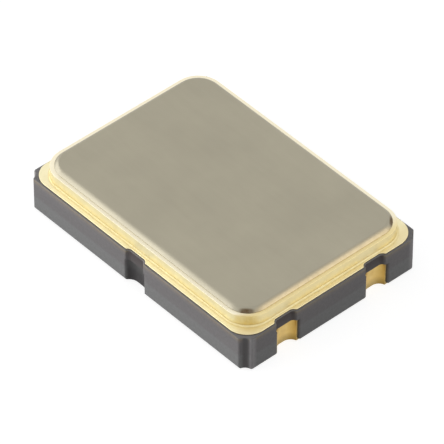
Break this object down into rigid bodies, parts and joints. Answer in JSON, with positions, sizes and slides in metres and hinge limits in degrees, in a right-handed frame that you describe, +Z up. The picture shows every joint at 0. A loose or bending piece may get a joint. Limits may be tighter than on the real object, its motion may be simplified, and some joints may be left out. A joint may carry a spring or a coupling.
{
  "type": "crystal resonator",
  "caption": "Surface-mount quartz crystal resonator: a quartz plate sealed in a dark ceramic box with a gold-plated ring, a welded metal lid and notched gold solder terminals",
  "frame": {"origin": "middle of the footprint, on the plane of the solder lands' undersides", "axes": "+X along the long side of the package, +Y across it, +Z up out of the lid; terminal 1 is at the end -X on the side -Y"},
  "size_m": [0.007, 0.005, 0.0013],
  "materials": {
    "alumina": "matt dark grey fired alumina",
    "gold_plate": "satin gold plating",
    "nickel_lid": "satin nickel plating",
    "quartz": "lapped clear quartz",
    "silver_film": "bright vapour-deposited silver",
    "silver_adhesive": "matt silver-filled adhesive"
  },
  "bodies": {
    "root": {"ceramic_body": "alumina", "terminal_1": "gold_plate", "terminal_2": "gold_plate", "terminal_3": "gold_plate", "terminal_4": "gold_plate", "seal_metallization": "gold_plate", "braze_frame": "gold_plate", "seal_ring": "gold_plate", "lid": "nickel_lid", "quartz_blank": "quartz", "electrode_top": "silver_film", "electrode_bottom": "silver_film", "adhesive_dot_1": "silver_adhesive", "adhesive_dot_2": "silver_adhesive"}
  },
  "joints": []
}
